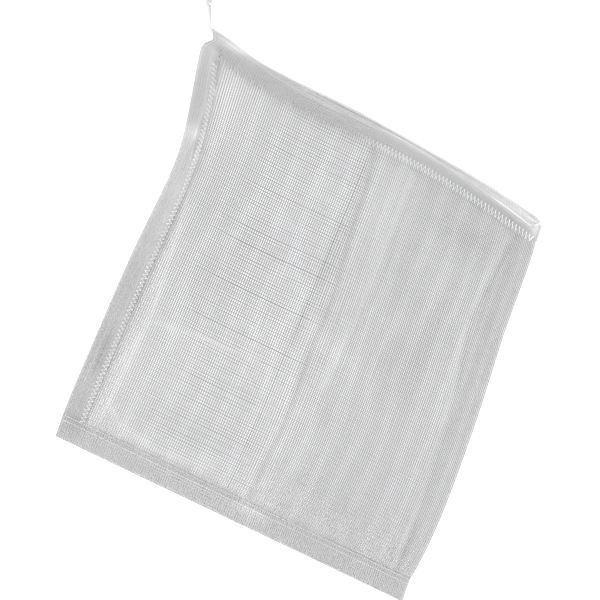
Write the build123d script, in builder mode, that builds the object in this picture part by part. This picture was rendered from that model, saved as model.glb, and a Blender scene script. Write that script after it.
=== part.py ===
"""Drawstring laundry net, lying flat with its mouth at +Y and its side seam at -X.

One length of mesh cloth is folded at its right side, sewn down its left side, turned up at
the bottom and turned over at the mouth into a channel for the drawcord. The storage crease
down the middle splits each cloth piece into a left and a right half, which fold on it.
Millimetres, Z up from the floor, origin under the middle of the bag.
"""

import os
from math import pi, radians, tan

from build123d import *

os.makedirs("parts", exist_ok=True)

# Cloth
CLOTH = 0.6  # one layer of net, over its yarn crossings
HALF_WIDTH = 218  # from the middle to the hem's right end and to the side seam's flap
HALF_LENGTH = 226  # from the middle to the bottom edge and to the peak at the cord's exit
LOFT_RISE = 9.4  # how far the front panel stands above its edges, mid-bag

# Bottom hem, side seam and right fold
HEM_DEPTH = 27
HEM_THICK = 2.4  # four layers of net sewn together
HEM_TOP = HEM_DEPTH - HALF_LENGTH
FOLD_WIDTH = 4
EDGE_Z = HEM_THICK - CLOTH  # underside of the front cloth where it meets the hem and the sides

# Mouth channel
CHANNEL_HIGH = 4.8
CHANNEL_GAP = 0.6  # between the front and the back channel where they meet at the ends
MOUTH_RISE = 5.2  # how far the mouth gapes, mid-width
CHANNEL_RIGHT = 172  # where both channels run into the fold at the mouth's corner
FRONT_END_Z = CHANNEL_HIGH + CHANNEL_GAP
MOUTH_SPAN = (-198, CHANNEL_RIGHT)  # the stretch of the front channel that bows up

# Drawcord
CORD = 2.6
KNOT_RADIUS = 3.7
KNOT_CENTRE = (-231.7, 249.8, KNOT_RADIUS)

# Sewing thread, lying on the cloth
STITCH_HIGH = 0.4
HEM_ROWS = (3, 8)  # below the hem's upper edge
HEM_STITCH_WIDE = 1.0
ZIGZAG_WIDE = 4.0
OVERLOCK_WIDE = 3.5

# Storage crease: the line that the bag folds on, leaning to the left towards the mouth
CREASE_X = 8  # where it crosses Y = 0
CREASE_LEAN = -0.1093  # millimetres across for each millimetre up the bag
CREASE_GAP = 0.25  # on each side of the line

# Outlines seen from above, each from the hem up or from the left to the right
LEFT_EDGE = [(-184, HEM_TOP), (-188, -110), (-191, 10), (-194, 105), (-202, 140), (-212, 178), (-218, 203)]
SEAM_INNER = [(-161, HEM_TOP), (-165, -110), (-168, 10), (-172, 95), (-180, 138), (-189, 173), (-198, 198)]
RIGHT_EDGE = [(216, HEM_TOP), (217.5, -150), (213, -80), (204, 0), (193, 80), (186, 150), (180, 188)]
BACK_LIP = [(-215, HALF_LENGTH), (-204, 225.4), (-190, 223), (-160, 217.4), (-125, 215.2), (-50, 214.8)]
BACK_LIP += [(35, 210), (90, 205.8), (129, 201.7), (172, 195)]
FRONT_LIP = [(-215, HALF_LENGTH), (-204, 224.8), (-190, 222), (-160, 215.4), (-125, 212), (-50, 209.2)]
FRONT_LIP += [(35, 204.5), (90, 198), (127, 192.2), (172, 183.5)]
CHANNEL_LOW = [(-218, 203), (-198, 198), (-165, 192), (-114, 186.5), (20, 186), (107, 178.5), (172, 168)]
MOUTH_CORNER = [(172, 168.1), (183.2, 166.4), (180.6, 188), (177, 193.5), (172, 195)]
MOUTH_CORNER_LINING = [(171, 168.8), (182.5, 166.9), (180, 187.8), (176.7, 192.9), (171, 194.7)]

# Stations up the bag where the front cloth's edges at the sides change height
SIDE_STATIONS = [HEM_TOP, 60, 85, 105, 125, 145, 170, 205]

# Drawcord routes at rest, from the knot, in at the exit and along the left half's channels
FRONT_TAIL = [(-230.3, 246.2, 4.6), (-226.5, 239.5, 5.4), (-221.5, 231.5, 6.8), (-216.5, 223, 7.8)]
BACK_TAIL = [(-228.4, 247.5, 2.9), (-225, 240, 2.2), (-220.8, 231.5, 2.0), (-216.5, 222.6, 2.4)]
FRONT_LEFT_XY = [(-203, 220.6), (-178, 215.4), (-145, 209.6), (-105, 204.6), (-60, 204), (-15.3, 205.5)]
BACK_LEFT_XY = [(-202, 221.8), (-178, 217.4), (-145, 212.8), (-105, 211), (-60, 211.2), (-15.3, 209.8)]
# and along the right half's channels, round the fold at the mouth's corner
FRONT_RIGHT_XY = [(-13.6, 205.5), (22, 202.5), (62, 198.5), (100, 193), (135, 187), (160, 181.5)]
CORNER_TURN = [(174.6, 180.5, 7.0), (176.0, 187.8, 3.0)]
BACK_RIGHT_XY = [(162, 192), (135, 197), (100, 201.2), (62, 204.6), (22, 207), (-13.6, 209.8)]


def smooth(t):
    """A smooth step from 0 to 1."""
    t = min(max(t, 0), 1)
    return t * t * (3 - 2 * t)


def bump(s):
    """0 at both ends of a span and 1 on a broad middle: the height of cloth held at its sides."""
    return 1 - (2 * min(max(s, 0), 1) - 1) ** 4


def x_at(points, y):
    """X of an edge at a height up the bag."""
    for (x0, y0), (x1, y1) in zip(points, points[1:]):
        if y <= y1:
            break
    return x0 + (x1 - x0) * (y - y0) / (y1 - y0)


def channel_z(x):
    """Underside of the front channel."""
    left, right = MOUTH_SPAN
    return FRONT_END_Z + MOUTH_RISE * bump((x - left) / (right - left))


def side_z(y):
    """Underside of the front cloth at the bag's sides, which climbs to the front channel's ends."""
    return EDGE_Z + (FRONT_END_Z + CLOTH - EDGE_Z) * smooth((y - 60) / 110)


def front_z(x, y):
    """Underside of the front panel."""
    left = x_at(SEAM_INNER, y)
    right = x_at(RIGHT_EDGE, y) - FOLD_WIDTH
    top_rise = MOUTH_RISE - CLOTH
    rise = LOFT_RISE * smooth((y - HEM_TOP) / 110) + (top_rise - LOFT_RISE) * smooth((y - 60) / 110)
    return side_z(y) + rise * bump((x - left) / (right - left))


def region(edge, *corners):
    """The flat face on one side of a curved edge, closed through far corners."""
    with BuildSketch() as face:
        with BuildLine():
            curve = Spline(*edge)
            Polyline(curve @ 1, *corners, curve @ 0)
        make_face()
    return face.sketch


def band(edge, top, bottom):
    """The flat face between an edge moved up the bag by one distance and by another."""
    with BuildSketch() as face:
        with BuildLine():
            upper = Spline(*[(x, y + top) for x, y in edge])
            lower = Spline(*[(x, y + bottom) for x, y in edge])
            Line(upper @ 0, lower @ 0)
            Line(upper @ 1, lower @ 1)
        make_face()
    return face.sketch


def channel_plan(lip, inset):
    """A channel's outline from above, or with an inset its tunnel's, which runs out of both ends."""
    overrun = 10 if inset else 0
    with BuildSketch() as face:
        with BuildLine():
            upper = Spline(*[(x, y - inset) for x, y in lip])
            lower = Spline(*[(x, y + inset) for x, y in CHANNEL_LOW])
            for end, way in ((0, -overrun), (1, overrun)):
                beyond = [curve @ end + Vector(way, 0) for curve in (upper, lower) if way]
                Polyline(upper @ end, *beyond, lower @ end)
        make_face()
    return face.sketch


def bowed_slab(low, high):
    """A slab that follows the front channel's bow, between two heights above its underside."""
    stations = [MOUTH_SPAN[0] - 30 + n * 40 for n in range(11)]
    with BuildPart() as slab:
        with BuildSketch(Plane.XZ.offset(-150)):
            with BuildLine():
                lower = Spline(*[(x, channel_z(x) + low) for x in stations])
                upper = Spline(*[(x, channel_z(x) + high) for x in stations])
                Line(lower @ 0, upper @ 0)
                Line(lower @ 1, upper @ 1)
            make_face()
        extrude(amount=-90)
    return slab.part


def lofted_slab():
    """The front panel's doubly curved sheet, untrimmed."""
    stations = [-212 + n * 42.8 for n in range(11)]
    with BuildPart() as slab:
        for y in (HEM_TOP - 4, -175, -145, -110, -40, 40, 90, 130, 165, 205):
            with BuildSketch(Plane.XZ.offset(-y)):
                with BuildLine():
                    lower = Spline(*[(x, front_z(x, y)) for x in stations])
                    upper = Spline(*[(x, front_z(x, y) + CLOTH) for x in stations])
                    Line(lower @ 0, upper @ 0)
                    Line(lower @ 1, upper @ 1)
                make_face()
        loft()
    return slab.part


def side_slab(floor, above):
    """A wedge across the whole bag, from a floor up to a height above the front cloth's
    underside at the sides."""
    with BuildPart() as slab:
        with BuildSketch(Plane.YZ.offset(-240)):
            with BuildLine():
                upper = Polyline(*[(y, side_z(y) + above) for y in SIDE_STATIONS])
                Polyline(upper @ 1, (SIDE_STATIONS[-1], floor), (SIDE_STATIONS[0], floor), upper @ 0)
            make_face()
        extrude(amount=480)
    return slab.part


def bend_radii(route):
    """For each corner of a route, the largest arc that its two runs leave room for."""
    points = [Vector(*p) for p in route]
    runs = [b - a for a, b in zip(points, points[1:])]
    radii = []
    for before, after in zip(runs, runs[1:]):
        turn = radians(before.get_angle(after))
        radii.append(0.45 * min(before.length, after.length) / tan(turn / 2))
    print("bend radii", [round(r, 1) for r in radii])
    return radii


def cord_tube(route):
    """A round cord along straight runs joined by tangent arcs."""
    with BuildPart() as tube:
        with BuildLine() as path:
            FilletPolyline(*route, radius=bend_radii(route))
        with BuildSketch(Plane(origin=path.line @ 0, z_dir=path.line % 0)):
            Circle(CORD / 2)
        sweep()
    length = sum(edge.length for edge in path.edges())
    section = pi * (CORD / 2) ** 2
    print("length", round(length, 1), "volume over section times length", round(tube.part.volume / section / length, 4))
    return tube.part


def export(part, name):
    part.label = name
    export_step(part, f"parts/{name}.step")


# Where each piece of cloth lies, seen from above
fold_inner = [(x - FOLD_WIDTH, y) for x, y in RIGHT_EDGE]
fold_lining = [(x - CLOTH, y) for x, y in RIGHT_EDGE]
below_channel = region(CHANNEL_LOW, (260, 153.9), (260, -300), (-300, -300), (-300, 215))
right_of_seam = region(SEAM_INNER, (300, 198), (300, HEM_TOP))
left_of_fold = region(fold_inner, (-300, 230), (-300, HEM_TOP))

with BuildSketch() as panel_plan:
    add(right_of_seam)
    add(left_of_fold, mode=Mode.INTERSECT)
    add(below_channel, mode=Mode.INTERSECT)

with BuildSketch() as seam_plan:
    add(region(LEFT_EDGE, (0, 203), (0, HEM_TOP)))
    add(right_of_seam, mode=Mode.SUBTRACT)
    add(below_channel, mode=Mode.INTERSECT)

with BuildSketch() as fold_plan:
    add(region(RIGHT_EDGE, (0, 188), (0, HEM_TOP)))
    add(left_of_fold, mode=Mode.SUBTRACT)
    add(below_channel, mode=Mode.INTERSECT)

with BuildSketch() as overlock_plan:
    add(region([(x - OVERLOCK_WIDE, y) for x, y in SEAM_INNER], (0, 198), (0, HEM_TOP)))
    add(right_of_seam, mode=Mode.SUBTRACT)
    add(below_channel, mode=Mode.INTERSECT)

# Cloth panels, the back one flat on the floor and the front one standing over it
with BuildPart() as back_panel:
    add(panel_plan.sketch)
    extrude(amount=CLOTH)

with BuildPart() as front_panel:
    add(panel_plan.sketch)
    extrude(amount=30)
    add(lofted_slab(), mode=Mode.INTERSECT)

# Bottom hem, turned up and sewn through all four layers
with BuildPart() as bottom_hem:
    with BuildSketch():
        with BuildLine():
            Polyline(
                (-181, -HALF_LENGTH),
                (HALF_WIDTH, -HALF_LENGTH),
                (HALF_WIDTH - 3, HEM_TOP),
                (-184, HEM_TOP),
                close=True,
            )
        make_face()
    extrude(amount=HEM_THICK)

with BuildPart() as hem_stitches:
    with BuildSketch(Plane.XY.offset(HEM_THICK)):
        for row in HEM_ROWS:
            with Locations((HALF_WIDTH / 12, HEM_TOP - row)):
                Rectangle(392, HEM_STITCH_WIDE)
    extrude(amount=STITCH_HIGH)

# Side seam's sewn allowance, lying to the left of the overlock row
with BuildPart() as side_seam_band:
    add(seam_plan.sketch)
    extrude(amount=30)
    add(side_slab(-5, CLOTH), mode=Mode.INTERSECT)

with BuildPart() as side_seam_overlock:
    add(overlock_plan.sketch)
    extrude(amount=30)
    add(side_slab(-5, CLOTH + STITCH_HIGH), mode=Mode.INTERSECT)
    add(side_slab(-6, CLOTH), mode=Mode.SUBTRACT)

# Fold down the right side, open towards the inside of the bag
with BuildPart() as fold_hollow:
    add(region(fold_lining, (0, 188), (0, HEM_TOP)))
    extrude(amount=30)
    add(side_slab(CLOTH, 0), mode=Mode.INTERSECT)

with BuildPart() as right_fold:
    add(fold_plan.sketch)
    extrude(amount=30)
    add(side_slab(-5, CLOTH), mode=Mode.INTERSECT)
    add(fold_hollow.part, mode=Mode.SUBTRACT)

# Channels for the drawcord: cloth turned over at the mouth and sewn down along its lower edge
with BuildPart() as back_channel:
    add(channel_plan(BACK_LIP, 0))
    extrude(amount=CHANNEL_HIGH)
    with BuildSketch(Plane.XY.offset(CLOTH)):
        add(channel_plan(BACK_LIP, CLOTH))
    extrude(amount=CHANNEL_HIGH - 2 * CLOTH, mode=Mode.SUBTRACT)

with BuildPart() as front_tunnel:
    add(channel_plan(FRONT_LIP, CLOTH))
    extrude(amount=30)
    add(bowed_slab(CLOTH, CHANNEL_HIGH - CLOTH), mode=Mode.INTERSECT)

with BuildPart() as front_channel:
    add(channel_plan(FRONT_LIP, 0))
    extrude(amount=30)
    add(bowed_slab(0, CHANNEL_HIGH), mode=Mode.INTERSECT)
    add(front_tunnel.part, mode=Mode.SUBTRACT)

with BuildPart() as back_channel_stitches:
    with BuildSketch(Plane.XY.offset(CHANNEL_HIGH)):
        add(band(CHANNEL_LOW, 1 + ZIGZAG_WIDE, 1))
    extrude(amount=STITCH_HIGH)

with BuildPart() as front_channel_stitches:
    add(band(CHANNEL_LOW, 1 + ZIGZAG_WIDE, 1))
    extrude(amount=30)
    add(bowed_slab(CHANNEL_HIGH, CHANNEL_HIGH + STITCH_HIGH), mode=Mode.INTERSECT)

# Where both channels run into the right fold: one tall loop of cloth, open to the left
with BuildPart() as mouth_corner_fold:
    with BuildSketch():
        with BuildLine():
            Polyline(*MOUTH_CORNER, close=True)
        make_face()
    extrude(amount=FRONT_END_Z + CHANNEL_HIGH)
    with BuildSketch(Plane.XY.offset(CLOTH)):
        with BuildLine():
            Polyline(*MOUTH_CORNER_LINING, close=True)
        make_face()
    extrude(amount=FRONT_END_Z + CHANNEL_HIGH - 2 * CLOTH, mode=Mode.SUBTRACT)

# Drawcord: two strands in at the exit, joined round the mouth's corner, and the knot on their ends
front_left = [(x, y, channel_z(x) + CHANNEL_HIGH / 2) for x, y in FRONT_LEFT_XY]
back_left = [(x, y, CHANNEL_HIGH / 2) for x, y in BACK_LEFT_XY]
front_right = [(x, y, channel_z(x) + CHANNEL_HIGH / 2) for x, y in FRONT_RIGHT_XY]
back_right = [(x, y, CHANNEL_HIGH / 2) for x, y in BACK_RIGHT_XY]
export(cord_tube([*FRONT_TAIL, *front_left]), "cord_front_strand")
export(cord_tube([*BACK_TAIL, *back_left]), "cord_back_strand")
export(cord_tube([*front_right, *CORNER_TURN, *back_right]), "cord_loop")

with BuildPart() as cord_knot:
    with Locations(KNOT_CENTRE):
        Sphere(KNOT_RADIUS)

# The two sides of the storage crease
HALVES = {}
for side, way in (("left", -1), ("right", 1)):
    with BuildPart() as half:
        with BuildSketch(Plane.XY.offset(-10)):
            with BuildLine():
                edge = [(CREASE_X + CREASE_LEAN * y + way * CREASE_GAP, y) for y in (-300, 300)]
                Polyline(*edge, (way * 400, 300), (way * 400, -300), close=True)
            make_face()
        extrude(amount=60)
    HALVES[side] = half.part

CROSSING = {
    "back_panel": back_panel.part,
    "front_panel": front_panel.part,
    "bottom_hem": bottom_hem.part,
    "hem_stitches": hem_stitches.part,
    "back_channel": back_channel.part,
    "front_channel": front_channel.part,
    "back_channel_stitches": back_channel_stitches.part,
    "front_channel_stitches": front_channel_stitches.part,
}
for name, whole in CROSSING.items():
    for side, half in HALVES.items():
        with BuildPart() as piece:
            add(whole)
            add(half, mode=Mode.INTERSECT)
        export(piece.part, f"{name}_{side}")

export(side_seam_band.part, "side_seam_band")
export(side_seam_overlock.part, "side_seam_overlock")
export(right_fold.part, "right_fold")
export(mouth_corner_fold.part, "mouth_corner_fold")
export(cord_knot.part, "cord_knot")
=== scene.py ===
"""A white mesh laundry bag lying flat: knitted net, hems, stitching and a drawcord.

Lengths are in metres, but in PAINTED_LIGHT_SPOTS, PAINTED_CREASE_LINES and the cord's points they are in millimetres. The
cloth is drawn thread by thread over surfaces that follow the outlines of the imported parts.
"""

from math import pi, radians

import bpy
import numpy as np
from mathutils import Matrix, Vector


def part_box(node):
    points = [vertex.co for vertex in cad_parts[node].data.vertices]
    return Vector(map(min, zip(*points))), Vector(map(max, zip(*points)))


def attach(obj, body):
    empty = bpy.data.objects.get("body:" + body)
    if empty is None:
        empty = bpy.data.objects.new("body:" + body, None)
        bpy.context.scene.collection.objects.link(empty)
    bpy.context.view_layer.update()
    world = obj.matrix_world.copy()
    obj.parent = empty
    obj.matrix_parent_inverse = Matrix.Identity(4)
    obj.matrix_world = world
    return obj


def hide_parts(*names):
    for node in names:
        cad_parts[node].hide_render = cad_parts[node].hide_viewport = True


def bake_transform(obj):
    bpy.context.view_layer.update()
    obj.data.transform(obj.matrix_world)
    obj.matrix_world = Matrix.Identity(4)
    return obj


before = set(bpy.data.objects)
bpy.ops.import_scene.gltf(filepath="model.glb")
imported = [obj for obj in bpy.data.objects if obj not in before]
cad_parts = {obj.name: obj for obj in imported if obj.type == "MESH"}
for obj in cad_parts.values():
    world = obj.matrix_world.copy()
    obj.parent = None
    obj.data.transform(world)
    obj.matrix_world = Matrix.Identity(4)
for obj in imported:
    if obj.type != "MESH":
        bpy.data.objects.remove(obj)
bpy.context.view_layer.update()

MM = 0.001

# Net: threads up the bag, with the distances between them on the left, on the right and beside
# the right fold, and threads across it
CLOTH_WIDTH = 400 * MM
FRONT_WALE, BACK_WALE, WALE_THICK = 0.74 * MM, 0.35 * MM, 0.34 * MM
FRONT_PITCHES = (2.40 * MM, 2.08 * MM, 2.25 * MM)
BACK_PITCHES = (2.22 * MM, 1.93 * MM, 1.98 * MM)
JITTER = 0.16 * MM  # how far each thread strays from its place
# How far a layer's threads up the bag part at the crease, how far they wander, and their jitter
FRONT_LAY, BACK_LAY = (2.4 * MM, 0.25 * MM, JITTER), (1.3 * MM, 0.8 * MM, 2.2 * JITTER)
COURSE_PITCH = 1.65 * MM
COURSE_WIDTH, COURSE_THICK = 0.42 * MM, 0.26 * MM
BACK_FINER, BACK_EVEN = 0.85, 0.2  # the back's share of this width, and of the unevenness
COURSE_UNEVEN = 0.18 * MM  # how much wider and finer they are in turn, left of the crease
HEAVY_COURSE = 0.5  # how much wider still the odd heavy one is
COURSE_RIPPLE = 0.16  # how much their width changes from row to row
STEP_UP = 6 * MM  # one straight piece of thread
STEP_ACROSS = 7 * MM

# Side seam's allowance: its threads, the rise of its layers as shares of the front's height, where
# it begins to round off at its top, and over what height
ALLOWANCE_WALES, ALLOWANCE_WALE, ALLOWANCE_WALE_THICK = 22, 0.46 * MM, 0.3 * MM
ALLOWANCE_PITCH, ALLOWANCE_COURSE = 1.05 * MM, 0.36 * MM
ALLOWANCE_LEVELS = (0.45, 1.0)
ALLOWANCE_TOP, ALLOWANCE_ROUND = 199 * MM, 13.5 * MM

# Cord and stitching
CORD = 2.6 * MM
KNOT_LOOP = 0.86 * MM  # the scale of the knot's trefoil
CUT_ENDS = ((-0.9, 5.6), (-3.4, 4.8))  # how far the two ends reach past the knot, in millimetres
SEAM_THREAD = 1.25 * MM
ZIGZAG_POINTS, ZIGZAG_LOW, ZIGZAG_HIGH = 176, 0.4 * MM, 7.0 * MM
OVERLOCK_POINTS, OVERLOCK_OUT, OVERLOCK_IN = 180, -3.6 * MM, 1.6 * MM
HEM_ROW_POINTS = 260
HEM_ROWS = (3 * MM, 8 * MM)  # how far the hem's two rows of stitches are below its top

# A span across the storage crease: 22 mm to each side of it
CREASE = Vector((8 * MM, 0, 8 * MM))
ACROSS_CREASE = Vector((0.99408, 0.108653, 0))  # square to it
FOLD = {"start": CREASE - 22 * MM * ACROSS_CREASE, "end": CREASE + 22 * MM * ACROSS_CREASE}

# A stretch of the channel: its first 150 mm, straight along X, where the channel slopes.
PULL = {"start": (-216 * MM, 200 * MM, 0), "end": (-66 * MM, 200 * MM, 0)}

# Spots of painted highlight where the cloth shines or, below 0, of painted shade where it sinks: X, Y,
# half width, half height and how much
PAINTED_LIGHT_SPOTS = [
    (36, -209, 17, 6, 1), (-188, 120, 9, 9, 2.1), (-188, 217, 20, 4, 2), (176, 180, 4, 9, 1.5),
    (164, 193.6, 10, 0.9, 1.6), (22, 130, 12, 50, 0.5), (1, 64, 8, 45, -0.5),
    (120, 143, 35, 14, -0.5), (122, 25, 22, 55, -0.4), (-122, 20, 55, 120, -0.5),
    (-94, -108, 40, 40, 0.2), (-171, -207, 14, 12, -0.8),
]

# Lines that packing has pressed into the front, with painted highlight along the pale ones and painted
# shade along the dark ones: half width, how pale or, below 0, dark, and points
PAINTED_CREASE_LINES = [
    (1.4, -0.8, [(199, -200), (196, -157), (184, -52), (175, -5), (156, 69), (161, 168)]),
    (2.4, 0.7, [(194, -200), (190, -157), (178, -52), (169, -5), (150, 69), (154, 168)]),
    (1.2, -1.3, [(3, -195), (-1, -60), (-6, 60), (-13, 180)]),
    (4.0, 0.8, [(47, -60), (47, 20), (37, 177)]),
    (2.0, 0.9, [(-146, -190), (-144, -72), (-156, 16), (-171, 95), (-186, 169)]),
    (2.0, 1.0, [(-143, -75), (-78, -67), (-26, -63)]),
    (2.2, 0.8, [(-146, -172), (-124, -186), (-77, -193), (-20, -184)]),
]

# Camera: straight above, turned so that the bag lies askew
CAMERA_TURN = radians(25.5)
CAMERA_CENTRE = (-12.7 * MM, 10.9 * MM)
CAMERA_HEIGHT = 3.0
VIEW_WIDTH = 0.6226  # metres of floor across the picture
SENSOR = 36.0

# Light: even and white from all round, so bright that the floor is pure white, with a weak softbox
# above the left. The yarns' greys are fitted to this light and are darker than white cloth is.
SKY_STRENGTH = 2.09
SOFTBOX_POWER = 16
SOFTBOX_PLACE = (-1.2, 1.0, 1.8)
FLOOR_DROP = 0.2 * MM

# Drawcord: its two strands from the knot along the front and the back channel, and its loop
KNOT = (-231.7, 249.8, 3.7)
FRONT_TAIL = [(-230.3, 246.2, 4.6), (-226.5, 239.5, 5.4), (-221.5, 231.5, 6.8), (-216.5, 223, 7.8)]
BACK_TAIL = [(-228.4, 247.5, 2.9), (-225, 240, 2.2), (-220.8, 231.5, 2.0), (-216.5, 222.6, 2.4)]
FRONT_STRAND = [(-203, 220.6), (-178, 215.4), (-145, 209.6), (-105, 204.6), (-60, 204)]
BACK_STRAND = [(-202, 221.8), (-178, 217.4), (-145, 212.8), (-105, 211), (-60, 211.2)]
LOOP_FRONT = [(-60, 204), (-15, 205.5), (22, 202.5), (62, 198.5), (100, 193), (135, 187), (160, 181.5)]
LOOP_TURN = [(174.6, 180.5, 7.0), (176.0, 187.8, 3.0)]
LOOP_BACK = [(162, 192), (135, 197), (100, 201.2), (62, 204.6), (22, 207), (-15, 209.8), (-60, 211.2)]
CORD_Z = 2.4  # the cord's middle above a channel's floor


# ---------------------------------------------------------------- camera

def make_camera():
    """A camera far above the bag, so that the view is nearly square on."""
    data = bpy.data.cameras.new("camera")
    data.sensor_width = SENSOR
    data.lens = SENSOR * CAMERA_HEIGHT / VIEW_WIDTH
    data.clip_end = 20
    camera = bpy.data.objects.new("camera", data)
    camera.location = (*CAMERA_CENTRE, CAMERA_HEIGHT)
    camera.rotation_euler = (0, 0, CAMERA_TURN)
    bpy.context.scene.collection.objects.link(camera)
    bpy.context.scene.camera = camera


# ---------------------------------------------------------------- outlines, read from the frame

def mesh_edges(nodes):
    """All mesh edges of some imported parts, as two arrays of points."""
    starts, ends = [], []
    for name in nodes:
        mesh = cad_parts[name].data
        points = np.empty(len(mesh.vertices) * 3)
        mesh.vertices.foreach_get("co", points)
        points = points.reshape(-1, 3)
        pairs = np.empty(len(mesh.edges) * 2, dtype=int)
        mesh.edges.foreach_get("vertices", pairs)
        pairs = pairs.reshape(-1, 2)
        starts.append(points[pairs[:, 0]])
        ends.append(points[pairs[:, 1]])
    return np.concatenate(starts), np.concatenate(ends)


def outline(nodes, along, pick, low, high, count=160):
    """An outline as a function: the extreme X at each Y (along=1) or the extreme Y at each X."""
    start, end = mesh_edges(nodes)
    levels = np.linspace(low, high, count)
    values = []
    for level in levels:
        a, b = start[:, along] - level, end[:, along] - level
        cut = a * b <= 0
        share = np.where(np.abs(a - b) > 1e-9, a / np.where(a == b, 1, a - b), 0)[cut]
        across = start[cut, 1 - along] + share * (end[cut, 1 - along] - start[cut, 1 - along])
        values.append(pick(across) if len(across) else values[-1])
    return lambda t: np.interp(t, levels, values)


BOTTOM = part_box("bottom_hem_left")[0].y
HEM_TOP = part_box("bottom_hem_left")[1].y
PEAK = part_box("back_channel_left")[1].y
INSET = 0.1 * MM  # outlines start just inside the cloth
FRONT_CHANNEL = ["front_channel_left", "front_channel_right"]
BACK_CHANNEL = ["back_channel_left", "back_channel_right"]
LEFT_SIDE = ["bottom_hem_left", "side_seam_band", "back_channel_left"]
RIGHT_SIDE = ["bottom_hem_right", "right_fold", "mouth_corner_fold"]
MOUTH_LEFT = -214.5 * MM  # the lips' outlines start here
cut_edge = outline(LEFT_SIDE, 1, min, BOTTOM + INSET, PEAK - 1 * MM)
right_edge = outline(RIGHT_SIDE, 1, max, BOTTOM + INSET, 193 * MM)
seam_line = outline(["side_seam_band"], 1, max, HEM_TOP + 1 * MM, 197 * MM)
front_edge = outline(FRONT_CHANNEL, 0, max, MOUTH_LEFT, 171.5 * MM)
back_lip = outline([*BACK_CHANNEL, "mouth_corner_fold"], 0, max, MOUTH_LEFT, 179.5 * MM)
stitch_line = outline([*FRONT_CHANNEL, "mouth_corner_fold"], 0, min, -217.5 * MM, 182.5 * MM)

# Heights that the surfaces keep to
FRONT_END_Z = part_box("front_channel_left")[0].z
CHANNEL_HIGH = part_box("back_channel_left")[1].z
EDGE_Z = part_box("right_fold")[1].z - 0.6 * MM
HEM_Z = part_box("bottom_hem_left")[1].z
MOUTH_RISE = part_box("front_channel_left")[1].z - CHANNEL_HIGH - FRONT_END_Z
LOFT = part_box("front_panel_left")[1].z - HEM_Z


def smooth(t):
    """A smooth step from 0 to 1."""
    t = np.clip(t, 0, 1)
    return t * t * (3 - 2 * t)


def left_edge(y):
    """The bag's left outline, nicked between the seam's flap and the channel's end."""
    return cut_edge(y) + 6 * MM * np.exp(-(((y - 216 * MM) / (5 * MM)) ** 2))


def bump(s):
    """0 at both ends of a span and 1 on a broad middle."""
    return 1 - (2 * np.clip(s, 0, 1) - 1) ** 4


def front_lip(x):
    """The front channel's lip, which runs into the back one at the mouth's right corner."""
    return front_edge(x) + (back_lip(x) - front_edge(x)) * smooth((x - 172 * MM) / (8 * MM))


def crease_x(y):
    """The storage crease as it lies, wandering a little about the line that the bag folds on."""
    up = y + 9 * MM
    return 17.6 * MM - 0.103 * up - 0.29 * up**2 + 1.2 * MM * np.sin(y / 0.021)


# ---------------------------------------------------------------- cloth surfaces

# Distances up the cut cloth, from the bag's bottom edge: below 0 is the part turned up inside the
# hem, and past the lip is the part turned down inside the channel
S_HEM = BOTTOM - HEM_TOP
S_PANEL = 412 * MM
S_LIP = S_PANEL + 22 * MM
LIP_RADIUS = 2.1 * MM
S_INNER = S_LIP + pi * LIP_RADIUS
S_END = S_INNER + 20 * MM
CHANNEL_FOOT = 4 * MM  # how far above the channel's lower edge its tunnel begins


def ripple(x, y, seed):
    """A gentle unevenness of the cloth, between -1 and 1."""
    return (
        0.5 * np.sin(x / 0.031 + 1.7 * seed + 0.8 * np.sin(y / 0.044 + seed))
        + 0.3 * np.sin(y / 0.027 - 2.1 * seed + 1.1 * np.sin(x / 0.05))
        + 0.2 * np.sin((x + y) / 0.0175 + 0.6 * seed)
    )


def channel_base(x):
    """The underside of the front channel, which bows up between the mouth's ends."""
    left, right = -198 * MM, 172 * MM
    return FRONT_END_Z + MOUTH_RISE * bump((x - left) / (right - left))


def towards_mouth(y):
    """0 in the lower part of the bag and 1 near the mouth."""
    return smooth((y - 60 * MM) / (110 * MM))


def side_height(y):
    """The front cloth's height at the bag's sides."""
    return EDGE_Z + (FRONT_END_Z + 1.2 * MM - EDGE_Z) * towards_mouth(y)


def front_height(x, y):
    """The front cloth's height above the floor."""
    left, right = seam_line(y), right_edge(y) - 4 * MM
    climb = towards_mouth(y)
    rise = (LOFT * (1 - climb) + MOUTH_RISE * climb) * smooth((y - HEM_TOP) / (110 * MM))
    inside = smooth((y - HEM_TOP) / (40 * MM))
    inside = inside * smooth((x - left) / (30 * MM)) * smooth((right - x) / (30 * MM))
    crease = np.exp(-(((x - crease_x(y)) / (7 * MM)) ** 2))
    step = smooth((y + 68 * MM + 0.02 * x) / (5 * MM)) * np.exp(-(((x + 76 * MM) / (70 * MM)) ** 4))
    sag = 0.8 * MM * (ripple(x, y, 1.0) - 1) - 1.4 * MM * crease + 0.5 * MM * step
    flat = (1 - smooth((x - left_edge(y)) / (45 * MM))) * (1 - smooth((y - 165 * MM) / (30 * MM)))
    side = side_height(y) - (side_height(y) - 1.7 * MM) * flat
    return side + rise * bump((x - left) / (right - left)) + sag * inside


def front_panel_height(x, y):
    """The front cloth's height, come down onto the hem."""
    panel = front_height(x, y)
    hem = smooth((HEM_TOP + 2 * MM - y) / (5 * MM))
    return panel + (HEM_Z - 0.3 * MM - panel) * hem


def warp_x(u, y, spread):
    """Where a thread at share u of the cloth's width is at a height up the bag. The threads part
    by spread at the crease."""
    straight = -184 * MM - 0.033 * (y - HEM_TOP)
    right = right_edge(y)
    x = straight + u * (right - straight)
    x = x + (left_edge(y) - straight) * np.exp(-u * CLOTH_WIDTH / (45 * MM)) * (1 - u)
    away = (x - crease_x(y) - 2 * MM) / (8 * MM)
    return x - spread * away * np.exp(-(away**2)) * np.sin(pi * np.clip(u, 0, 1))


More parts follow.
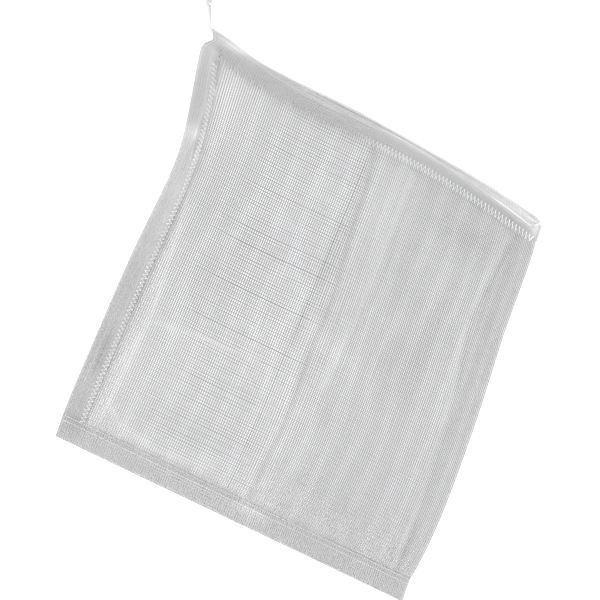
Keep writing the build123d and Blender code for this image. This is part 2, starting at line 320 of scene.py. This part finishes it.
def place(u, s, front):
    """A point of a cloth layer at share u of its width and distance s up it."""
    u, s = np.broadcast_arrays(np.asarray(u, float), np.asarray(s, float))
    lip = front_lip if front else back_lip
    seed = 0.0 if front else 2.6
    turn = np.clip((s - S_LIP) / (S_INNER - S_LIP), 0, 1) * pi
    spread, wander, jitter = FRONT_LAY if front else BACK_LAY
    x = warp_x(u, 0.0, 0.0)
    # x and y depend on each other, and settle in a few rounds
    for _ in range(5):
        low = stitch_line(x) + CHANNEL_FOOT
        rise = lip(np.maximum(x, MOUTH_LEFT + 0.3 * MM)) - 0.4 * MM - LIP_RADIUS - low
        y = BOTTOM + np.clip(s / S_PANEL, 0, 1) * (low - BOTTOM) - np.minimum(s, 0) * 0.96
        y = y + rise * np.clip((s - S_PANEL) / (S_LIP - S_PANEL), 0, 1)
        y = y + LIP_RADIUS * np.sin(turn) - rise * 0.96 * np.clip((s - S_INNER) / (S_END - S_INNER), 0, 1)
        calm = np.sin(pi * np.clip(u, 0, 1)) * np.sin(pi * np.clip((y - BOTTOM) / (420 * MM), 0, 1))
        x = warp_x(u, y, spread)
        x = x + wander * ripple(y, u * CLOTH_WIDTH, seed + 0.5) * calm
        stray = np.sin(u * 7919 + 3 * np.sin(u * 611)) * np.sin(y / 0.019 + u * 3571)
        x = x + jitter * stray * calm
        if front:
            x = x + 0.5 * MM * np.sin(y / 0.011 + 4 * u) * smooth((u - 0.8) / 0.1) * calm
    y = y + 0.8 * MM * ripple(x, y, seed) * calm
    y = y + 0.6 * JITTER * np.sin(s * 9001) * np.sin(x / 0.023 + s * 2713) * calm
    opening = smooth((s - S_PANEL) / (S_LIP - S_PANEL) * 1.15)
    closing = 1 - smooth((s - S_INNER) / (S_END - S_INNER) * 1.2)
    if front:
        panel, base = front_panel_height(x, y), channel_base(x)
        outer = panel + (base + CHANNEL_HIGH - 0.5 * MM - panel) * opening
        inner = base + 0.4 * MM + (panel - 0.8 * MM - base) * (1 - closing)
        turned_up = HEM_Z - 0.9 * MM
    else:
        outer = 0.3 * MM + 0.1 * MM * (1 + ripple(x, y, 3.0))
        inner = 0.9 * MM + (CHANNEL_HIGH - 1.4 * MM) * closing
        turned_up = 0.9 * MM
    z = np.where(s < S_LIP, outer, inner)
    middle, half = (outer + inner) / 2, (outer - inner) / 2
    z = np.where((s >= S_LIP) & (s < S_INNER), middle + half * np.cos(turn), z)
    z = np.where(s < 0, turned_up, z)
    # the fold down the right side joins the front layer and the back one
    in_channel = smooth((s - S_PANEL) / (S_LIP - S_PANEL) * 2)
    centre = (side_height(y) + (channel_base(x) + CHANNEL_HIGH - side_height(y)) * in_channel) / 2
    depth = 3 * MM + 3 * MM * in_channel
    inward = np.clip((right_edge(y) - x) / depth, 0, 1)
    z = centre + (z - centre) * np.sqrt(np.clip(1 - (1 - inward) ** 2, 0, 1))
    return np.stack([x, y, z], axis=-1)


# ---------------------------------------------------------------- meshes

def mesh_object(name, points, quads):
    """A smooth-shaded object of four-sided faces."""
    mesh = bpy.data.meshes.new(name)
    mesh.vertices.add(len(points))
    mesh.vertices.foreach_set("co", np.ascontiguousarray(points, dtype=np.float32).ravel())
    mesh.loops.add(quads.size)
    mesh.loops.foreach_set("vertex_index", np.ascontiguousarray(quads, dtype=np.int32).ravel())
    mesh.polygons.add(len(quads))
    mesh.polygons.foreach_set("loop_start", np.arange(0, quads.size, 4, dtype=np.int32))
    mesh.polygons.foreach_set("loop_total", np.full(len(quads), 4, dtype=np.int32))
    mesh.polygons.foreach_set("use_smooth", np.ones(len(quads), dtype=bool))
    mesh.update(calc_edges=True)
    piece = bpy.data.objects.new(name, mesh)
    bpy.context.scene.collection.objects.link(piece)
    return piece


def vertices(piece):
    """A piece's vertices, as an array of shape (vertices, 3)."""
    points = np.empty(len(piece.data.vertices) * 3)
    piece.data.vertices.foreach_get("co", points)
    return points.reshape(-1, 3)


def directions(paths, side):
    """Unit vectors along paths of shape (paths, stations, 3), across them near side, and up."""
    along = np.gradient(paths, axis=1)
    along /= np.linalg.norm(along, axis=2, keepdims=True)
    side = np.broadcast_to(np.asarray(side, float), along.shape)
    side = side - along * np.sum(side * along, axis=2, keepdims=True)
    side /= np.linalg.norm(side, axis=2, keepdims=True)
    return side, np.cross(along, side)


def tubes(name, paths, rings):
    """Tubes along paths. rings gives each station's corners, shape (paths, stations, corners, 3)."""
    points = np.asarray(paths)[:, :, None, :] + rings
    n, m, k, _ = points.shape
    index = np.arange(n * m * k).reshape(n, m, k)
    a, b = index[:, :-1], index[:, 1:]
    walls = np.stack([a, b, np.roll(b, -1, axis=2), np.roll(a, -1, axis=2)], axis=-1).reshape(-1, 4)
    caps = []
    for i in range(1, k - 1, 2):
        caps.append(index[:, 0][:, [0, i, i + 1, (i + 2) % k]])
        caps.append(index[:, -1][:, [(i + 2) % k, i + 1, i, 0]])
    return mesh_object(name, points.reshape(-1, 3), np.concatenate([walls, *caps]))


def threads(name, paths, width, thick, side):
    """Four-sided threads along paths of shape (threads, stations, 3)."""
    paths = np.asarray(paths, float)
    side, up = directions(paths, side)
    width = np.broadcast_to(width, paths.shape[:2])[..., None] / 2
    up = up * thick / 2
    return tubes(name, paths, np.stack([side * width, up, -side * width, -up], axis=2))


# ---------------------------------------------------------------- net

def wale_shares(left_pitch, right_pitch, fold_pitch):
    """Shares of the width at which threads run up the bag: they crowd on the right half, and
    again in a strip along the right side."""
    left, right = warp_x(0.0, 0.0, 0.0), right_edge(0.0)
    x, places = left + 0.3 * MM, []
    while x < right - 0.2 * MM:
        places.append(x)
        crowd = smooth((x + 15 * MM) / (70 * MM))
        pitch = left_pitch + (right_pitch - left_pitch) * crowd
        pitch += (fold_pitch - pitch) * smooth((x - right + 70 * MM) / (30 * MM))
        x += pitch * (1 - 0.16 * smooth((x - right + 35 * MM) / (4 * MM)))
    return (np.array(places) - left) / (right - left)


def net_layer(name, front, pitches):
    """A cloth layer's two sets of threads."""
    up = np.concatenate([
        np.linspace(S_HEM, -1 * MM, 5),
        np.linspace(0, S_PANEL, round(S_PANEL / STEP_UP)),
        np.linspace(S_PANEL, S_LIP, 6)[1:],
        np.linspace(S_LIP, S_INNER, 7)[1:],
        np.linspace(S_INNER, S_END, 6)[1:],
    ])
    shares = wale_shares(*pitches)
    wide = np.full(up.shape, FRONT_WALE)
    if not front:
        wide = BACK_WALE + (FRONT_WALE - BACK_WALE) * smooth((up - S_PANEL) / (10 * MM))
    paths = place(shares[:, None], up[None, :], front)
    wales = threads(f"{name}_wales", paths, wide, WALE_THICK, (1, 0, 0))
    rows = np.arange(S_HEM, S_END, COURSE_PITCH)
    row = np.arange(len(rows))[:, None]
    # shorter steps where the threads across turn round the right fold
    panel = np.linspace(0, 0.985, round(CLOTH_WIDTH / STEP_ACROSS))
    fold = 1 - np.array([9.5, 4.5, 2, 0.8, 0.25, 0]) / 1000
    across = np.concatenate([panel, fold])
    left_half = np.exp(-(((across - 0.36) / 0.17) ** 4))[None, :]
    finer, even = (1, 1) if front else (BACK_FINER, BACK_EVEN)
    widths = COURSE_WIDTH * finer + (1 - 2 * (row % 2)) * COURSE_UNEVEN * left_half * even
    widths = widths * (1 + COURSE_RIPPLE * np.sin(row * 2.4))
    if front:
        heavy = row * 37 % 31 < 3
        widths = widths * (1 + HEAVY_COURSE * heavy * left_half)
    paths = place(across[None, :], rows[:, None], front)
    courses = threads(f"{name}_courses", paths, widths, COURSE_THICK, (0, 1, 0))
    return wales, courses


def on_allowance(share, y, level):
    """A point of the allowance at a share of its width and a share of the front's height."""
    inner, outer = seam_line(y) + 0.6 * MM, left_edge(y) + 0.3 * MM
    past = (y - ALLOWANCE_TOP) / ALLOWANCE_ROUND
    round_top = np.where(past > 0, np.sqrt(np.clip(1 - past**2, 0, 1)), 1.0)
    middle = (inner + outer) / 2
    x = middle + (share - 0.5) * (inner - outer) * round_top
    pinch = np.exp(-(((y - 122 * MM) / (14 * MM)) ** 2))
    x = x + 1.5 * MM * pinch * np.sin(pi * share)
    wave = 0.3 * MM * ripple(x, y, 5.0) * np.sin(pi * share)
    wave = wave + 0.7 * MM * pinch * np.sin(2 * pi * share)
    z = 0.35 * MM + (front_height(x, y) - 0.25 * MM + wave) * level
    return np.stack([x, y + 0 * share, z], axis=-1)


def seam_allowance():
    """Both cloths' raw edges, turned in beside the side seam: a dense band in two layers."""
    start = HEM_TOP - 1 * MM
    turn = np.linspace(0, pi / 2 - 0.05, 8)
    straight = np.linspace(start, ALLOWANCE_TOP - 1 * MM, 80)
    y = np.concatenate([straight, ALLOWANCE_TOP + ALLOWANCE_ROUND * np.sin(turn)])
    paths = []
    for level in ALLOWANCE_LEVELS:
        shares = np.linspace(0.01, 0.99, ALLOWANCE_WALES) + 0.01 * level
        paths.append(on_allowance(shares[:, None], y[None, :], level))
    paths = np.concatenate(paths)
    up = threads("seam_allowance_wales", paths, ALLOWANCE_WALE, ALLOWANCE_WALE_THICK, (1, 0, 0))
    rows = np.arange(start, ALLOWANCE_TOP + 13 * MM, ALLOWANCE_PITCH)[:, None]
    share = np.linspace(0, 1, 6)[None, :]
    paths = [on_allowance(share, rows + 0.3 * MM * level, level) for level in ALLOWANCE_LEVELS]
    paths = np.concatenate(paths)
    across = threads("seam_allowance_courses", paths, ALLOWANCE_COURSE, COURSE_THICK, (0, 1, 0))
    return up, across


# ---------------------------------------------------------------- stitching

def on_front(x, y):
    """A point on the front cloth, over the channel too."""
    low = stitch_line(x) + CHANNEL_FOOT
    rise = front_lip(x) - 0.4 * MM - LIP_RADIUS - low
    opening = smooth((y - low) / rise * 1.15)
    panel = front_panel_height(x, y)
    z = panel + (channel_base(x) + CHANNEL_HIGH - 0.5 * MM - panel) * opening
    return np.stack([x, y, z], axis=-1)


def zigzag(count, low, high):
    """Alternately low and high."""
    return np.tile([low, high], count)[:count]


def channel_zigzag(name, front):
    """The zigzag row along a channel's lower edge, on the front or under the back."""
    x = np.linspace(-196 * MM, 177 * MM, ZIGZAG_POINTS)
    points = on_front(x, stitch_line(x) + zigzag(ZIGZAG_POINTS, ZIGZAG_LOW, ZIGZAG_HIGH))
    if front:
        points[:, 2] += 0.9 * MM
    else:
        points[:, 2] = 0.12 * MM
    return threads(name, points[None], 0.5 * MM, SEAM_THREAD, (0, 0, 1))


def overlock():
    """The overlock thread that swings to and fro over the side seam."""
    y = np.linspace(HEM_TOP - 2 * MM, 200 * MM, OVERLOCK_POINTS)
    points = on_front(seam_line(y) + zigzag(OVERLOCK_POINTS, OVERLOCK_OUT, OVERLOCK_IN), y)
    points[:, 2] = np.maximum(points[:, 2], side_height(y) + 0.4 * MM) + 0.4 * MM
    return threads("overlock_thread", points[None], 0.4 * MM, 0.55 * SEAM_THREAD, (0, 0, 1))


def hem_rows():
    """The two straight rows of stitches along the hem."""
    paths = []
    for depth in HEM_ROWS:
        y = np.full(HEM_ROW_POINTS, HEM_TOP - depth)
        x = np.linspace(left_edge(y[0]) + 2 * MM, right_edge(y[0]) - 1 * MM, HEM_ROW_POINTS)
        dip = zigzag(HEM_ROW_POINTS, -0.25 * MM, 0.15 * MM)
        paths.append(np.stack([x, y, HEM_Z + 0.25 * MM + dip], axis=-1))
    return threads("hem_stitch_rows", np.array(paths), 0.4 * MM, 0.35 * MM, (0, 1, 0))


# ---------------------------------------------------------------- painted light and shade, paler and darker places

def set_marks(piece, amount):
    """Stores each vertex's mark, which its material multiplies by a value of its own. The marks are
    painted light and shade, with some paler and darker places.
    """
    values = piece.data.attributes.new("painted_light_and_tone", "FLOAT", "POINT").data
    values.foreach_set("value", amount.astype(np.float32))


def distance_to(x, y, points):
    """Distances from places on the floor to a line through points in millimetres."""
    nearest = np.full(x.shape, np.inf)
    for (ax, ay), (bx, by) in zip(points, points[1:]):
        px, py, dx, dy = x / MM - ax, y / MM - ay, bx - ax, by - ay
        share = np.clip((px * dx + py * dy) / (dx * dx + dy * dy), 0, 1)
        nearest = np.minimum(nearest, np.hypot(px - share * dx, py - share * dy))
    return nearest


def painted_light_at(x, y):
    """How strongly the spots of painted highlight and painted shade show at places on the floor."""
    amount = np.zeros(x.shape)
    for at_x, at_y, wide, high, painted_light in PAINTED_LIGHT_SPOTS:
        away = ((x / MM - at_x) / wide) ** 2 + ((y / MM - at_y) / high) ** 2
        amount = amount + painted_light * np.exp(-away)
    return amount


def layered(x, y):
    """Where cloth lies in several layers: how far a place is inside the hem, inside the channel
    and past the front lip, each from 0 to 1."""
    in_hem = smooth((HEM_TOP + 3 * MM - y) / (4 * MM))
    in_channel = smooth((y - stitch_line(x) - 2 * MM) / (4 * MM))
    edge = front_lip(x) - 2 * MM * smooth((x + 22 * MM) / (16 * MM))
    return in_hem, in_channel, smooth((y - edge) / (2 * MM))


def mark_front(piece):
    """Marks lighten the front's yarn: painted light in its hem and channel, standing in for light through
    the layered cloth, and a painted highlight on its lip.
    The spots and the pressed lines add painted highlight and painted shade."""
    x, y, _ = vertices(piece).T
    in_hem, in_channel, past_lip = layered(x, y)
    # a line of painted highlight along the lip, right of x = 112 mm
    at_lip = np.exp(-(((y - front_lip(x) + 0.7 * MM) / (0.9 * MM)) ** 2))
    lip_highlight_reach = smooth((x - 112 * MM) / (20 * MM))
    # hem and channel painted paler for light through the layered cloth; past the lip a painted highlight
    amount = np.maximum(1.3 * in_hem, 0.95 * in_channel) + 1.4 * past_lip + 2.2 * at_lip * lip_highlight_reach
    amount = amount + painted_light_at(x, y)
    # painted highlight and painted shade along the pressed lines
    for half_width, painted_light, points in PAINTED_CREASE_LINES:
        amount = amount + painted_light * np.exp(-((distance_to(x, y, points) / half_width) ** 2))
    set_marks(piece, amount)


def mark_back(piece):
    """Marks darken the back's yarn along its own lip, with painted shade in its hem and channel and more
    underneath them, and with the front's spots of painted light turned round. It is painted paler where
    it shows past the front lip, right of the crease, against the front lip's shadow."""
    x, y, z = vertices(piece).T
    in_hem, in_channel, past_lip = layered(x, y)
    in_channel = 0.7 * in_channel
    outermost = smooth((y - back_lip(x) + 5.5 * MM) / (3 * MM))
    right = smooth((x + 30 * MM) / (30 * MM))
    # darker on the outermost rim; past the front lip, right of the crease, painted paler against the
    # front lip's shadow
    rim = (1.3 - 0.4 * right) * outermost - 2.4 * right * (1 - outermost) * past_lip
    # painted shade where the back lies on the floor under the hem's and channel's layers
    underneath = (z < 0.7 * MM) * (1.8 * in_hem + 0.4 * in_channel)
    set_marks(piece, np.maximum(in_hem, in_channel) + rim + underneath + painted_light_at(x, y))


def mark_allowance(piece):
    """The turned-in edges are paler up the bag and along a line in their inner half, and take the spots'
    painted highlights and shade.
    """
    x, y, _ = vertices(piece).T
    beside_seam = np.exp(-(((x - seam_line(y) + 6.5 * MM) / (1.6 * MM)) ** 2))
    line = beside_seam * smooth((y + 100 * MM) / (60 * MM))
    up = smooth((y + 130 * MM) / (220 * MM)) * (1 - smooth((y - 100 * MM) / (50 * MM)))
    set_marks(piece, 0.2 + 1.1 * up + 1.3 * line + painted_light_at(x, y))


def mark_thread(piece):
    """Marks darken the thread with painted shade where it sinks into the hem, and into the channel left
    of its middle.
    """
    x, y, _ = vertices(piece).T
    in_channel = smooth((y - stitch_line(x) + 3 * MM) / (1 * MM))
    left = 1 - smooth((x + 45 * MM) / (45 * MM))
    set_marks(piece, in_channel * left + 0.6 * (y < HEM_TOP))


# ---------------------------------------------------------------- cord

def route(points, step=0.6 * MM):
    """The smooth line that a row of points pulls into shape, read at even steps, and its length."""
    curve = bpy.data.curves.new("route", "CURVE")
    curve.dimensions = "3D"
    curve.resolution_u = 32
    spline = curve.splines.new("NURBS")
    spline.points.add(len(points) - 1)
    for control, (x, y, z) in zip(spline.points, points):
        control.co = (x * MM, y * MM, z * MM, 1)
    spline.order_u = 3
    spline.use_endpoint_u = True
    carrier = bpy.data.objects.new("route", curve)
    line = np.array([v.co for v in bpy.data.meshes.new_from_object(carrier).vertices])
    bpy.data.objects.remove(carrier)
    run = np.concatenate([[0], np.cumsum(np.linalg.norm(np.diff(line, axis=0), axis=1))])
    even = np.linspace(0, run[-1], round(run[-1] / step))
    return np.stack([np.interp(even, run, line[:, i]) for i in range(3)], axis=-1), run[-1]


def in_front_channel(points):
    """Route points in millimetres at the height of the front channel's floor."""
    return [(x, y, channel_base(x * MM) / MM + CORD_Z) for x, y in points]


def in_back_channel(points):
    """Route points in millimetres at the height of the back channel's floor."""
    return [(x, y, CORD_Z) for x, y in points]


def braided(name, line, radius, sides=12):
    """A round cord with the relief of its braid."""
    side, up = directions(line[None], (0, 0, 1))
    angle = np.arange(sides) / sides * 2 * pi
    run = np.arange(len(line))[:, None] * np.linalg.norm(line[1] - line[0])
    plait = np.cos(3 * angle + run / (0.62 * MM)) * np.cos(3 * angle - run / (0.62 * MM))
    r = radius * (0.96 + 0.05 * plait)[None, :, :, None]
    turn = angle[None, None, :, None]
    ring = side[:, :, None] * np.cos(turn) + up[:, :, None] * np.sin(turn)
    return tubes(name, line[None], ring * r)


def make_cord(name, points, far_end, exit_end, body_a, body_b, start, end, nodes):
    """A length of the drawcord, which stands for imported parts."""
    line, length = route(points)
    piece = braided(name, line, CORD / 2)
    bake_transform(piece)
    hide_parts(*nodes)
    return piece


def make_knot():
    """A trefoil of cord, with the two cut ends past it."""
    t = np.linspace(0, 2 * pi, 97)
    x, y = np.sin(t) + 2 * np.sin(2 * t), np.cos(t) - 2 * np.cos(2 * t)
    line = np.stack([x, y, -1.3 * np.sin(3 * t)], axis=-1) * KNOT_LOOP + np.array(KNOT) * MM
    pieces = [braided("cord_knot_loops", line, 1.25 * MM)]
    reach = np.linspace(0.2, 1, 9)
    for i, (dx, dy) in enumerate(CUT_ENDS):
        lift = (1.1 - 2.2 * i) * (1 - reach)
        end = np.stack([KNOT[0] + dx * reach, KNOT[1] + dy * reach, KNOT[2] + lift], axis=-1)
        pieces.append(braided(f"cord_cut_end_{i + 1}", end * MM, 1.15 * MM))
    return pieces


# ---------------------------------------------------------------- materials

def fibre(name, albedo, roughness, painted_light_and_tone=0.0, mottle=60, weave=4000, relief=0.0001):
    """Yarn of one grey. Where vertices have a mark, the mark times a given scale is added to the grey:
    painted light and shade, and some paler and darker places.
    """
    material = bpy.data.materials.new(name)
    material.use_nodes = True
    nodes, links = material.node_tree.nodes, material.node_tree.links
    shader = nodes["Principled BSDF"]
    shader.inputs["Roughness"].default_value = roughness
    shader.inputs["Specular IOR Level"].default_value = 0.3
    where = nodes.new("ShaderNodeTexCoord")
    noise = nodes.new("ShaderNodeTexNoise")
    noise.inputs["Scale"].default_value = mottle
    noise.inputs["Detail"].default_value = 4
    ramp = nodes.new("ShaderNodeValToRGB")
    low, high = albedo * 0.94, min(albedo * 1.06, 0.97)
    ramp.color_ramp.elements[0].color = (low, low, low, 1)
    ramp.color_ramp.elements[1].color = (high, high, high, 1)
    fine = nodes.new("ShaderNodeTexNoise")
    fine.inputs["Scale"].default_value = weave
    fuzz = nodes.new("ShaderNodeBump")
    fuzz.inputs["Strength"].default_value = 0.3
    fuzz.inputs["Distance"].default_value = relief
    links.new(where.outputs["Object"], noise.inputs["Vector"])
    links.new(where.outputs["Object"], fine.inputs["Vector"])
    links.new(noise.outputs["Fac"], ramp.inputs["Fac"])
    mark_reader = nodes.new("ShaderNodeAttribute")
    mark_reader.attribute_name = "painted_light_and_tone"
    paler = nodes.new("ShaderNodeMath")
    paler.operation = "MULTIPLY"
    paler.inputs[1].default_value = painted_light_and_tone
    total = nodes.new("ShaderNodeMixRGB")
    total.blend_type = "ADD"
    total.inputs["Fac"].default_value = 1
    links.new(mark_reader.outputs["Fac"], paler.inputs[0])
    links.new(ramp.outputs["Color"], total.inputs["Color1"])
    links.new(paler.outputs[0], total.inputs["Color2"])
    links.new(total.outputs["Color"], shader.inputs["Base Color"])
    links.new(fine.outputs["Fac"], fuzz.inputs["Height"])
    links.new(fuzz.outputs["Normal"], shader.inputs["Normal"])
    return material


# ---------------------------------------------------------------- stage

def make_stage():
    """The white floor and the light."""
    mesh = bpy.data.meshes.new("floor")
    mesh.from_pydata([(-4, -4, 0), (4, -4, 0), (4, 4, 0), (-4, 4, 0)], [], [(0, 1, 2, 3)])
    floor = bpy.data.objects.new("floor", mesh)
    floor.location.z = -FLOOR_DROP
    bpy.context.scene.collection.objects.link(floor)
    material = bpy.data.materials.new("floor")
    material.use_nodes = True
    shader = material.node_tree.nodes["Principled BSDF"]
    shader.inputs["Base Color"].default_value = (0.95, 0.95, 0.95, 1)
    shader.inputs["Roughness"].default_value = 0.9
    mesh.materials.append(material)
    world = bpy.data.worlds.new("soft light")
    world.use_nodes = True
    sky = world.node_tree.nodes["Background"]
    sky.inputs["Color"].default_value = (1, 1, 1, 1)
    sky.inputs["Strength"].default_value = SKY_STRENGTH
    bpy.context.scene.world = world
    data = bpy.data.lights.new("softbox", "AREA")
    data.shape = "RECTANGLE"
    data.size, data.size_y = 1.6, 1.2
    data.energy = SOFTBOX_POWER
    lamp = bpy.data.objects.new("softbox", data)
    lamp.location = SOFTBOX_PLACE
    lamp.rotation_euler = Vector(lamp.location).to_track_quat("Z", "Y").to_euler()
    bpy.context.scene.collection.objects.link(lamp)
    bpy.context.scene.view_settings.view_transform = "Standard"


# ---------------------------------------------------------------- build

def finish_cloth(pieces, material, nodes, mark, folds=True):
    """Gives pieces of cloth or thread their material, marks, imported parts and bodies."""
    for piece in pieces:
        piece.data.materials.append(material)
        mark(piece)
        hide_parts(*nodes)
        if folds:
            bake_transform(piece)
        else:
            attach(piece, "left_half")


def nodes_like(*starts):
    """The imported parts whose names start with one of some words."""
    return [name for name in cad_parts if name.startswith(starts)]


make_camera()

net = fibre("net yarn", albedo=0.25, roughness=0.6, painted_light_and_tone=0.13)
# the back's yarn is the same yarn painted a paler grey, to make up for the shade that the front casts on
# it
under = fibre("net yarn on the floor", albedo=0.62, roughness=0.6, painted_light_and_tone=-0.08)
band = fibre("seam allowance yarn", albedo=0.39, roughness=0.6, painted_light_and_tone=0.06)
thread = fibre("sewing thread", albedo=0.93, roughness=0.55, painted_light_and_tone=-0.42)
cord_yarn = fibre("drawcord yarn", albedo=0.385, roughness=0.65)

front_tail = FRONT_TAIL + in_front_channel(FRONT_STRAND)
back_tail = BACK_TAIL + in_back_channel(BACK_STRAND)
loop = in_front_channel(LOOP_FRONT) + LOOP_TURN + in_back_channel(LOOP_BACK)
cords = [
    make_cord(
        "cord_front", front_tail, "knot", -1,
        "drawcord", "left_half", **PULL, nodes=["cord_front_strand"],
    ),
    make_cord(
        "cord_back", back_tail, "knot", -1,
        "drawcord", "left_half", **PULL, nodes=["cord_back_strand"],
    ),
    make_cord(
        "cord_loop_round", loop, "object", 0,
        "left_half", "right_half", **FOLD, nodes=["cord_loop"],
    ),
]
knot = make_knot()
for piece in knot:
    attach(piece, "drawcord")
    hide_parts("cord_knot")
for piece in cords + knot:
    piece.data.materials.append(cord_yarn)

front = net_layer("front_net", True, FRONT_PITCHES)
back = net_layer("back_net", False, BACK_PITCHES)
front_nodes = nodes_like("front_panel", *FRONT_CHANNEL, "right_fold", "mouth_corner")
back_nodes = nodes_like("back_panel", *BACK_CHANNEL, "bottom_hem")
finish_cloth(front, net, front_nodes, mark_front)
finish_cloth(back, under, back_nodes, mark_back)
allowance = seam_allowance()
# area isn't the cut's flat area, which is flat's width times length.
finish_cloth(allowance, band, ["side_seam_band"], mark_allowance, folds=False)
for piece, stitches in (
    (channel_zigzag("front_channel_zigzag", True), "front_channel_stitches"),
    (channel_zigzag("back_channel_zigzag", False), "back_channel_stitches"),
    (hem_rows(), "hem_stitches"),
):
    finish_cloth([piece], thread, nodes_like(stitches), mark_thread)
finish_cloth([overlock()], thread, ["side_seam_overlock"], mark_thread, folds=False)

make_stage()
